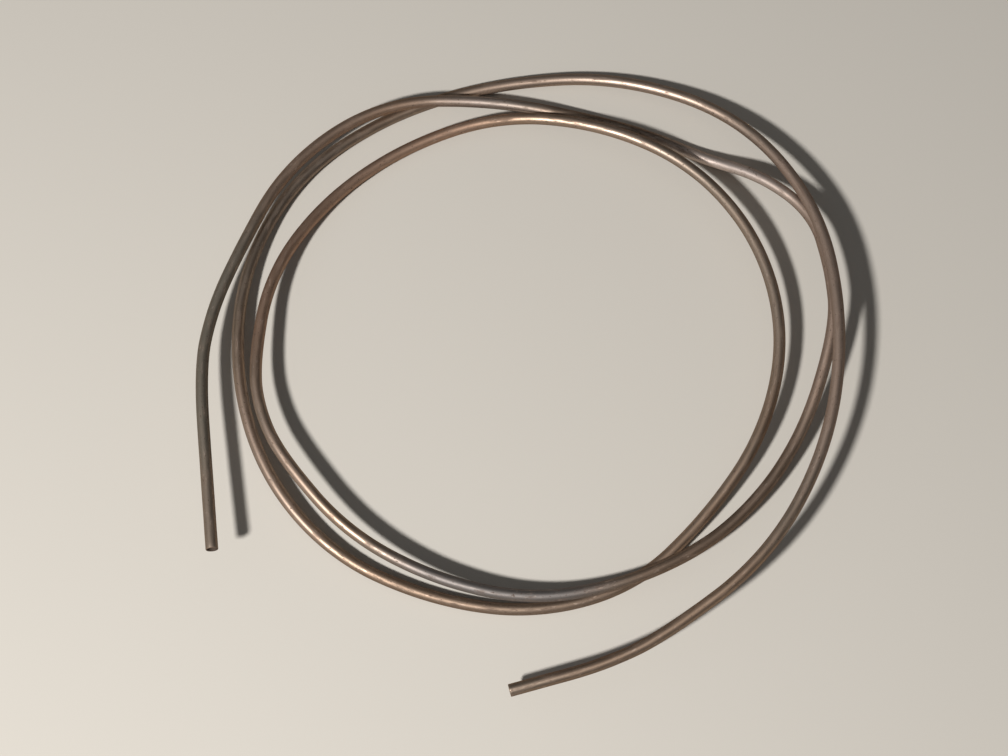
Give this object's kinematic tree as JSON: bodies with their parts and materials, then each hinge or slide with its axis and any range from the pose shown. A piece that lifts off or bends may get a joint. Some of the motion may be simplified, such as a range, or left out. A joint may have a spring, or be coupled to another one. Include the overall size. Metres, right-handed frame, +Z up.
{
  "type": "copper tube coil",
  "caption": "Loose coil of small soft copper tube, wound by hand in a few crossing turns, with two free cut ends.",
  "frame": {"origin": "on the floor, under the middle of the coil's outline", "axes": "+Z up; -Y towards the side where the tail end comes away from the coil; +X to the right seen from there"},
  "size_m": [0.334, 0.3425, 0.038],
  "materials": {
    "copper": "semi-gloss copper gone brown with age"
  },
  "bodies": {
    "root": {"copper_tube": "copper"}
  },
  "joints": []
}
